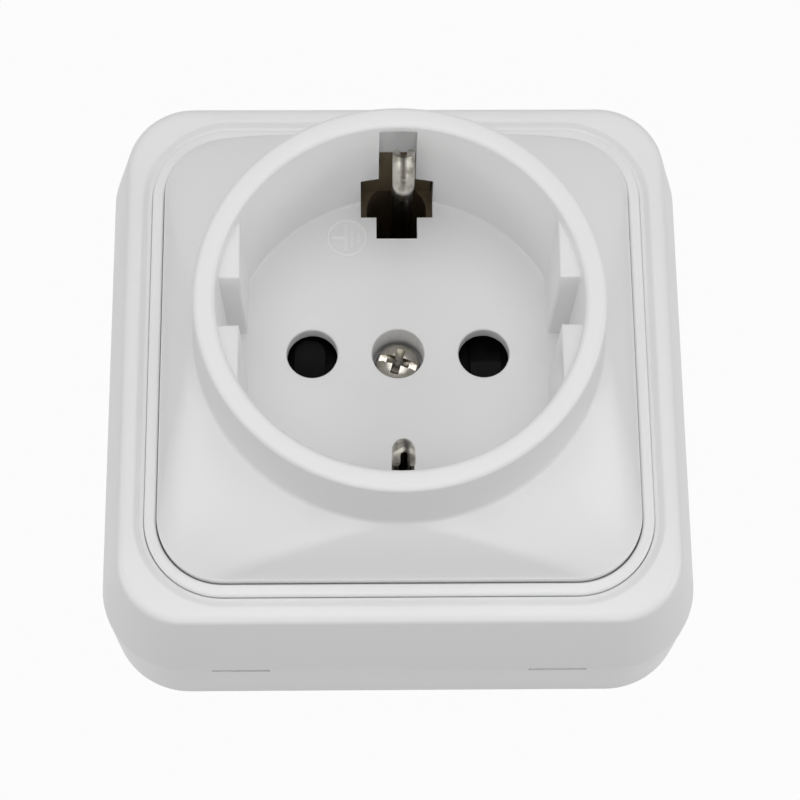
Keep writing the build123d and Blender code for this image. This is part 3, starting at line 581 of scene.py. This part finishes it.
def through_three(share, first, middle, last, middle_share):
    """A parabola through three values, at shares 0, middle_share and 1."""
    a = (share - middle_share) * (share - 1) / middle_share
    b = share * (share - 1) / (middle_share * (middle_share - 1))
    c = share * (share - middle_share) / (1 - middle_share)
    return a * first + b * middle + c * last


def dome_rings(halves, corners, low, high, steps=DOME_STEPS):
    """Rings of the dome through three half widths and three corner radii: low, in between and high."""
    rings = []
    for step in range(steps + 1):
        share = step / steps
        half = through_three(share, *halves, DOME_MIDDLE_SHARE)
        corner = through_three(share, *corners, DOME_MIDDLE_SHARE)
        rings.append((half, corner, low + share * (high - low)))
    return rings


skirt_points = [
    (24.4, LEDGE, 5.6, 0), (SKIRT_HALF, LEDGE - 0.004, 7.25, 0.15), (SKIRT_HALF, 23.48, 7.25, 0.04),
    (26.1, 23.54, 7.17, 0),
]
dome = dome_rings((26.1, 24.58, COLLAR_FOOT), (7.17, 13.8, COLLAR_FOOT), DOME_FOOT, DOME_TOP)
fillet_half, fillet_corner, fillet_height = dome[-FILLET_RINGS - 1]
collar_points = [
    (fillet_half, fillet_height, fillet_corner, 0), (COLLAR_FOOT, DOME_TOP, COLLAR_FOOT, 1.3),
    (RIM_OUTSIDE, RIM, RIM_OUTSIDE, 0.6), (RIM_INSIDE, RIM, RIM_INSIDE, 0.6),
    (WELL_RADIUS, WELL_FLOOR, WELL_RADIUS, 0.35), (17.5, WELL_FLOOR, 17.5, 0),
]
outer_skin = rounded_profile(skirt_points)[:-1]
outer_skin += dome[:-FILLET_RINGS]
outer_skin += rounded_profile(collar_points)[1:]
inner_skin = [(18.0, 18.0, FLOOR_UNDER), (20.9, 20.9, FLOOR_UNDER + LEVEL_STEP), (20.9, 20.9, 29.0)]
inner_skin += dome_rings((24.2, 22.8, 21.0), (5.4, 12.1, 21.0), DOME_FOOT, 29.3, steps=10)[::-1]
inner_skin += [(24.2, 5.4, LEDGE + 0.1)]
cover_bm = bmesh.new()
cover_rings = [ring_edges(cover_bm, *section) for section in outer_skin]
inner_rings = [ring_edges(cover_bm, *section) for section in inner_skin]
for chain in (cover_rings, inner_rings):
    for first, second in zip(chain, chain[1:]):
        bmesh.ops.bridge_loops(cover_bm, edges=first + second)
bmesh.ops.bridge_loops(cover_bm, edges=cover_rings[0] + inner_rings[-1])
bmesh.ops.edgeloop_fill(cover_bm, edges=cover_rings[-1])
bmesh.ops.edgeloop_fill(cover_bm, edges=inner_rings[0])
cover_shell = solid(cover_bm, "cover_shell")
print("cover rings:", len(cover_rings) + len(inner_rings))

# %% [markdown]
# ## Shoulders, boss and cut-outs of the cover
#
# Two pairs of shoulders key the plug's sides. They are blocks that lean with the mould's draft, cut to the well
# wall, with rounded edges, so they are shaped and bevelled first and then joined on. The tube for the screw is
# joined on below. The holes are spun tools with a flared mouth, which leaves a rounded edge.

# %% Shoulders and boss
SHOULDER_TOP = 38.0
SHOULDER_LOW = FLOOR_UNDER + 0.5
SHOULDER_INSIDE = 16.6
SHOULDER_DEPTH = 3.2
SHOULDER_GAP_HALF = 2.4
SHOULDER_LENGTH = 7.2
SHOULDER_LEAN = 0.24
shoulder_size = (SHOULDER_DEPTH, SHOULDER_LENGTH, SHOULDER_TOP - FLOOR_UNDER - 0.5)
middle_x = SHOULDER_INSIDE + SHOULDER_DEPTH / 2
middle_y = SHOULDER_GAP_HALF + SHOULDER_LENGTH / 2
middle_z = (SHOULDER_TOP + SHOULDER_LOW) / 2
shoulders = bmesh.new()
for side_x in (-1, 1):
    for side_y in (-1, 1):
        cube = bmesh.ops.create_cube(shoulders, size=1)["verts"]
        bmesh.ops.scale(shoulders, vec=shoulder_size, verts=cube)
        bmesh.ops.translate(shoulders, vec=(side_x * middle_x, side_y * middle_y, middle_z), verts=cube)
        for vert in cube:
            lean = SHOULDER_LEAN if vert.co.z > middle_z else 0.0
            if abs(vert.co.x) < SHOULDER_INSIDE + 0.4:
                vert.co.x += side_x * lean
            if abs(vert.co.y) < SHOULDER_GAP_HALF + 0.6:
                vert.co.y += side_y * lean


def round_edges(bm, edges, radius):
    """Round some edges of a bmesh."""
    bmesh.ops.bevel(
        bm, geom=edges, offset=radius, offset_type="OFFSET", segments=4, profile=0.5,
        affect="EDGES", material=-1, clamp_overlap=True,
    )


top_edges = [edge for edge in shoulders.edges if min(vert.co.z for vert in edge.verts) > SHOULDER_TOP - 1]
round_edges(shoulders, top_edges, 0.35)
upright = [
    edge for edge in shoulders.edges
    if abs(edge.verts[0].co.z - edge.verts[1].co.z) > 5
    and max(abs(vert.co.x) for vert in edge.verts) < SHOULDER_INSIDE + 0.8
]
round_edges(shoulders, upright, 0.3)
shoulder_tool = solid(shoulders, "shoulder_tool")


def spun(profile, steps=96):
    """A solid of revolution from (radius, height) points, about the line through the origin."""
    bm = bmesh.new()
    verts = [bm.verts.new((radius, 0, height)) for radius, height in profile]
    edges = [bm.edges.new(pair) for pair in zip(verts, verts[1:])]
    bmesh.ops.spin(
        bm, geom=verts + edges, cent=(0, 0, 0), axis=(0, 0, 1), dvec=(0, 0, 0), angle=math.tau,
        steps=steps, use_merge=True,
    )
    bmesh.ops.remove_doubles(bm, verts=bm.verts, dist=1e-4)
    return bm


KEEPER_RADIUS = 19.95
well_keeper = solid(spun([(0, 20.0), (KEEPER_RADIUS, 20.0), (KEEPER_RADIUS, 39.0), (0, 39.0)]), "well_keeper")
cut_with(shoulder_tool, well_keeper, "INTERSECT")
cut_with(cover_shell, shoulder_tool, "UNION")
boss_tool = solid(spun([(0, 16.2), (4.1, 16.2), (4.2, 16.3), (4.2, 21.5), (0, 21.5)]), "boss_tool")
cut_with(cover_shell, boss_tool, "UNION")


def hole_tool(radius, low, flare, x=0.0):
    """A spun tool that bores a hole from above and rounds its upper edge."""
    points = [(0, low), (radius, low), (radius, WELL_FLOOR - flare)]
    for step in range(1, 6):
        angle = math.pi / 2 * step / 5
        points.append((radius + flare * (1 - math.cos(angle)), WELL_FLOOR - flare + flare * math.sin(angle)))
    points += [(radius + flare, WELL_FLOOR + 1), (0, WELL_FLOOR + 1)]
    bm = spun(points)
    bmesh.ops.translate(bm, vec=(x, 0, 0), verts=bm.verts)
    return bm


PIN_X = 9.5
PIN_HOLE_RADIUS = 2.81
CENTRE_HOLE_RADIUS = 2.88
for x in (-PIN_X, PIN_X):
    cut_with(cover_shell, solid(hole_tool(PIN_HOLE_RADIUS, 19, 0.22, x), "pin_tool"))
cut_with(cover_shell, solid(hole_tool(CENTRE_HOLE_RADIUS, 18.0, 0.18), "centre_tool"))
cut_with(cover_shell, solid(spun([(0, 15), (1.55, 15), (1.55, 18.5), (0, 18.5)]), "shank_tool"))

# %% Cut-outs for the earth clips
SLOT_HALF = 2.05
SLOT_BACK = 20.6
WINDOW_HALF = 4.05
WINDOW_TOP = 27.9
GUARD_BACK = 21.35
GUARD_PLAY = 0.15
SLOT_TOP = 38.9
NOTCH_START = 13.9
for side in (-1, 1):
    for half_width, inner, outer, low, high in (
        (SLOT_HALF, NOTCH_START, SLOT_BACK, 20.0, SLOT_TOP),
        (2.3, NOTCH_START, 17.0, 20.0, WELL_FLOOR + 0.1),
        (WINDOW_HALF, 16.5, GUARD_BACK + GUARD_PLAY, 20.0, WINDOW_TOP),
        (SLOT_HALF, 16.5, GUARD_BACK + GUARD_PLAY, 20.0, DOME_TOP),
    ):
        y_low, y_high = sorted((side * inner, side * outer))
        tool = solid(box_bmesh([((-half_width, y_low, low), (half_width, y_high, high))]), "clip_window")
        cut_with(cover_shell, tool)
settle(cover_shell, white_moulding, replaced=["socket_plate"])

# %% [markdown]
# ## Guards of the carrier
#
# Behind each earth clip the photograph shows a brown wall that fills the lower part of the slot. It is the edge
# of the carrier, which stands up there and closes the slot. Two steps in width follow the slot and its window.

# %% Guards of the carrier
CARRIER_TOP = 20.85
guard_blocks = []
for side in (-1, 1):
    y_low, y_high = sorted((side * (SLOT_BACK + GUARD_PLAY), side * GUARD_BACK))
    for half_width, top in ((WINDOW_HALF, WINDOW_TOP), (SLOT_HALF, DOME_TOP)):
        reach = half_width - GUARD_PLAY
        guard_blocks.append([((-reach, y_low, CARRIER_TOP), (reach, y_high, top - GUARD_PLAY))])
clip_guards = solid(box_bmesh(guard_blocks[0]), "clip_guards")
for block in guard_blocks[1:]:
    cut_with(clip_guards, solid(box_bmesh(block), "guard_block"), "UNION")
settle(clip_guards, brown_phenolic)

# %% [markdown]
# ## Earth clips
#
# Each clip is a strip rolled to an open tube, with its two edges turned in at the back, and bowed towards the
# plug. A section drawn once is extruded step by step along the bow. Each step moves the end face to its next
# place, so the tube keeps its shape round the bends.
#
# Known fault: an extrusion keeps the face that it starts from, so every step leaves a face inside the tube. The
# manifold boolean refuses such a mesh, so the foot below is not joined on, for either clip.

# %% Section of a clip
CLIP_SHIFT = 0.45
CLIP_HALF = 1.2
LOBE_BACK = -0.45
NOTCH_HALF = 0.38
NOTCH_TIP_RADIUS = 0.36
NOTCH_DEPTH = 0.32


def arc(centre_x, centre_y, radius, first, last, steps):
    """Points of an arc from first to last, in degrees."""
    angles = [math.radians(first + (last - first) * step / steps) for step in range(steps + 1)]
    return [(centre_x + radius * math.cos(angle), centre_y + radius * math.sin(angle)) for angle in angles]


lobe_radius = (CLIP_HALF - NOTCH_HALF) / 2
lobe_middle = (CLIP_HALF + NOTCH_HALF) / 2
clip_section = arc(lobe_middle, LOBE_BACK, lobe_radius, -180, 0, 10)
clip_section += arc(0, 0, CLIP_HALF, 0, 180, 22)
clip_section += arc(-lobe_middle, LOBE_BACK, lobe_radius, -180, 0, 10)
clip_section += arc(0, NOTCH_DEPTH, NOTCH_TIP_RADIUS, 180, 0, 10)
print("clip section:", len(clip_section), "points")

# %% Bow of a clip
clip_low = min(vert.co.z for vert in nodes["earth_clip_upper"].data.vertices) / MM
FOOT_THICKNESS = 0.4
RIVET_HEAD_RADIUS = 1.5
RIVET_HOLE_RADIUS = 0.9
clip_corners = [(18.15, clip_low + 0.1), (18.15, 26.5), (15.0, 34.6), (17.35, 37.55)]
BOW_RADIUS = 2.6
clip_bow = [Vector(clip_corners[0])]
for before, corner, after in zip(clip_corners, clip_corners[1:], clip_corners[2:]):
    clip_bow += rounded_step(before, corner, after, BOW_RADIUS, steps=7)
clip_bow.append(Vector(clip_corners[-1]))


def station(index):
    """Where the section stands at one point of the bow: its x across, its front towards the plug."""
    here = clip_bow[index]
    along = clip_bow[min(index + 1, len(clip_bow) - 1)] - clip_bow[max(index - 1, 0)]
    along.normalize()
    turned = Matrix(((1, 0, 0), (0, -along.y, along.x), (0, along.x, along.y))).to_4x4()
    return Matrix.Translation((CLIP_SHIFT, here.x, here.y)) @ turned


# %% Earth clips
def earth_clip(name, mirrored, lean):
    """One clip, its tube moved sideways by lean, mirrored for the lower side. The foot is refused, see above."""
    bm = bmesh.new()
    end = bm.faces.new([bm.verts.new((x, depth, 0)) for x, depth in clip_section])
    place = station(0)
    bmesh.ops.transform(bm, matrix=place, verts=bm.verts)
    for index in range(1, len(clip_bow)):
        made = bmesh.ops.extrude_face_region(bm, geom=[end])["geom"]
        end = next(item for item in made if isinstance(item, bmesh.types.BMFace))
        step = station(index) @ place.inverted()
        bmesh.ops.transform(bm, matrix=step, verts=end.verts)
        place = station(index)
    bmesh.ops.bevel(
        bm, geom=list(end.edges), offset=0.05, offset_type="OFFSET", segments=2, profile=0.5,
        affect="EDGES", material=-1, clamp_overlap=True,
    )
    bmesh.ops.translate(bm, vec=(lean, 0, 0), verts=bm.verts)
    clip = solid(bm, name)
    foot_box = ((-2.05, 13.75, clip_low), (2.95, 18.9, clip_low + FOOT_THICKNESS))
    foot = solid(box_bmesh([foot_box]), "clip_foot")
    rivet_y = max(vert.co.y for vert in nodes["earth_rivets"].data.vertices) / MM - RIVET_HEAD_RADIUS
    rivet_tool = spun([(0, 0), (RIVET_HOLE_RADIUS, 0), (RIVET_HOLE_RADIUS, 10), (0, 10)])
    bmesh.ops.translate(rivet_tool, vec=(CLIP_SHIFT, rivet_y, 0), verts=rivet_tool.verts)
    cut_with(foot, solid(rivet_tool, "rivet_tool"))
    cut_with(clip, foot, "UNION")
    if mirrored:
        clip.data.transform(Matrix.Scale(-1, 4, (0, 1, 0)))
        clip.data.flip_normals()
    return clip


for name, mirrored, lean in (("earth_clip_upper", False, 0.12), ("earth_clip_lower", True, -0.22)):
    clip = earth_clip("rolled_" + name, mirrored, lean)
    settle(clip, clip_nickel_painted_shade, replaced=[name], crease_degrees=38)

# %% [markdown]
# ## Cover screw
#
# One domed screw holds the cover. Its recess takes a cross driver or a flat one, so a shallow slot runs right
# across and a deep cross narrows towards its floor. The cross is made by cutting two blocks to a cone, which
# gives the slanted floors of the arms, and then the recess is cut out of the spun head.

# %% Cover screw
SCREW_SEAT = 18.0
HEAD_RADIUS = 2.5
HEAD_TOP = 20.65
HEAD_SIDE = 1.05
SHANK_RADIUS = 1.45
RECESS_TURN = math.radians(-17)
screw_low = min(vert.co.z for vert in nodes["cover_screw"].data.vertices) / MM
head = [(0, screw_low), (SHANK_RADIUS - 0.2, screw_low), (SHANK_RADIUS, screw_low + 0.2)]
head += [(SHANK_RADIUS, SCREW_SEAT), (HEAD_RADIUS - 0.1, SCREW_SEAT), (HEAD_RADIUS, SCREW_SEAT + 0.1)]
HEAD_STEPS = 14
rise = HEAD_TOP - SCREW_SEAT - HEAD_SIDE
for step in range(HEAD_STEPS + 1):
    angle = math.pi / 2 * step / HEAD_STEPS
    head.append((HEAD_RADIUS * math.cos(angle), SCREW_SEAT + HEAD_SIDE + rise * math.sin(angle)))
head[-1] = (0, HEAD_TOP)
screw = solid(spun(head), "driven_screw")


def turned_blocks(blocks, turn):
    """Plain blocks turned about the line through the origin."""
    bm = box_bmesh(blocks)
    bmesh.ops.rotate(bm, cent=(0, 0, 0), matrix=Matrix.Rotation(turn, 3, "Z"), verts=bm.verts)
    return bm


ARM_HALF = 0.48
ARM_REACH = 1.75
RECESS_LOW = 18.9
RECESS_HIGH = 21.5
DRIVER_SLOT_HALF = 0.36
DRIVER_SLOT_LOW = 19.85
arm_block = ((-ARM_REACH, -ARM_HALF, RECESS_LOW), (ARM_REACH, ARM_HALF, RECESS_HIGH))
cross = solid(turned_blocks([arm_block], RECESS_TURN), "cross")
cut_with(cross, solid(turned_blocks([arm_block], RECESS_TURN + math.pi / 2), "cross_arm"), "UNION")
cone = spun([(0, 18.95), (0.55, 19.1), (1.35, 19.9), (1.8, 20.9), (1.9, RECESS_HIGH), (0, RECESS_HIGH)])
cut_with(cross, solid(cone, "recess_cone"), "INTERSECT")
cut_with(screw, cross)
slot_block = ((-3.2, -DRIVER_SLOT_HALF, DRIVER_SLOT_LOW), (3.2, DRIVER_SLOT_HALF, RECESS_HIGH))
cut_with(screw, solid(turned_blocks([slot_block], RECESS_TURN), "driver_slot"))
settle(screw, worn_nickel_painted_shade, replaced=["cover_screw"], crease_degrees=30)

# %% [markdown]
# ## Earth mark
#
# The common sign for earth stands a hair above the floor of the well: a ring, a stem and three bars that get
# shorter. It is so low that only its edges show, as faint light lines. A spun ring and four blocks make it.

# %% Earth mark
MARK_RISE = 0.1
MARK_LINE = 0.16
MARK_X = -5.6
MARK_Y = 14.0
BARS_Y = 13.95
mark_low = WELL_FLOOR - 0.05
mark_top = WELL_FLOOR + MARK_RISE
ring_profile = [(1.98, mark_low), (2.3, mark_low), (2.27, mark_top), (2.01, mark_top), (1.98, mark_low)]
mark = spun(ring_profile, steps=72)
bmesh.ops.translate(mark, vec=(MARK_X, MARK_Y, 0), verts=mark.verts)
earth_mark = solid(mark, "earth_mark")
mark_bars = [((-7.3, MARK_Y - MARK_LINE, mark_low), (-5.7, MARK_Y + MARK_LINE, mark_top))]
for bar_x, half_length in ((-5.73, 1.69), (-5.05, 1.17), (-4.27, 0.62)):
    bar_low = (bar_x - MARK_LINE, BARS_Y - half_length, mark_low)
    bar_high = (bar_x + MARK_LINE, BARS_Y + half_length, mark_top)
    mark_bars.append((bar_low, bar_high))
for bar in mark_bars:
    cut_with(earth_mark, solid(box_bmesh([bar]), "mark_bar"), "UNION")
settle(earth_mark, polished_white_painted_highlight)

# %% [markdown]
# ## Floor and light
#
# The photograph has a pure white ground. The floor is a dark grey sheet, so that it throws little light on the
# walls, but the camera sees it nearly white, which leaves only a faint shadow round the part. The light is a big
# soft box overhead, three small ones in front and at the sides, and an even pale world that fills the well.

# %% Floor
FLOOR_HALF = 1500
FLOOR_DROP = 0.1
WHITE_GROUND_SHARE = 0.97
floor_bm = bmesh.new()
bmesh.ops.create_grid(floor_bm, x_segments=1, y_segments=1, size=FLOOR_HALF)
bmesh.ops.translate(floor_bm, vec=(0, 0, -FLOOR_DROP), verts=floor_bm.verts)
floor = solid(floor_bm, "studio_floor")
floor.data.transform(Matrix.Scale(MM, 4))
floor_look = Finish("floor_paper", Roughness=0.9)
floor_look.set("Base Color", (0.08, 0.08, 0.08, 1))
paper = Signal(floor_look, floor_look.shader.outputs["BSDF"])
glow = floor_look.node("ShaderNodeEmission", {}, {"Strength": 1.0}, "Emission")
white_ground = floor_look.seen_directly() * WHITE_GROUND_SHARE
ground = floor_look.node("ShaderNodeMixShader", {}, {0: white_ground, 1: paper, 2: glow})
floor_look.feed(floor_look.nodes["Material Output"].inputs["Surface"], ground)
floor.data.materials.append(floor_look.material)

# %% World
FILL_LEVEL = 0.44
world = bpy.data.worlds.new("studio_world")
bpy.context.scene.world = world
world.use_nodes = True
world_tree = Tree(world.node_tree)
background = world_tree.nodes["Background"]
background.inputs["Color"].default_value = (1, 1, 1, 1)
world_tree.feed(background.inputs["Strength"], FILL_LEVEL + (1 - FILL_LEVEL) * world_tree.seen_directly())


# %% Lamps
LAMP_AIM = Vector((0, 0, 0.02))
SIDE_BOX_SIZE = (0.4, 0.3)


def soft_box(name, place, size, power):
    """A rectangular area lamp at place, turned to the part, in metres and watts."""
    data = bpy.data.lights.new(name, "AREA")
    data.shape = "RECTANGLE"
    data.size, data.size_y = size
    data.energy = power
    lamp = bpy.data.objects.new(name, data)
    bpy.context.scene.collection.objects.link(lamp)
    lamp.location = place
    lamp.rotation_euler = (LAMP_AIM - Vector(place)).to_track_quat("-Z", "Y").to_euler()


soft_box("overhead_box", (0.0, 0.02, 0.75), (0.7, 0.7), 1.47)
soft_box("front_box", (0.0, -0.55, 0.26), (0.5, 0.25), 0.52)
soft_box("left_box", (-0.55, -0.05, 0.32), SIDE_BOX_SIZE, 0.58)
soft_box("right_box", (0.55, -0.05, 0.32), SIDE_BOX_SIZE, 0.7)

# %% View
bpy.context.scene.view_settings.view_transform = "Standard"
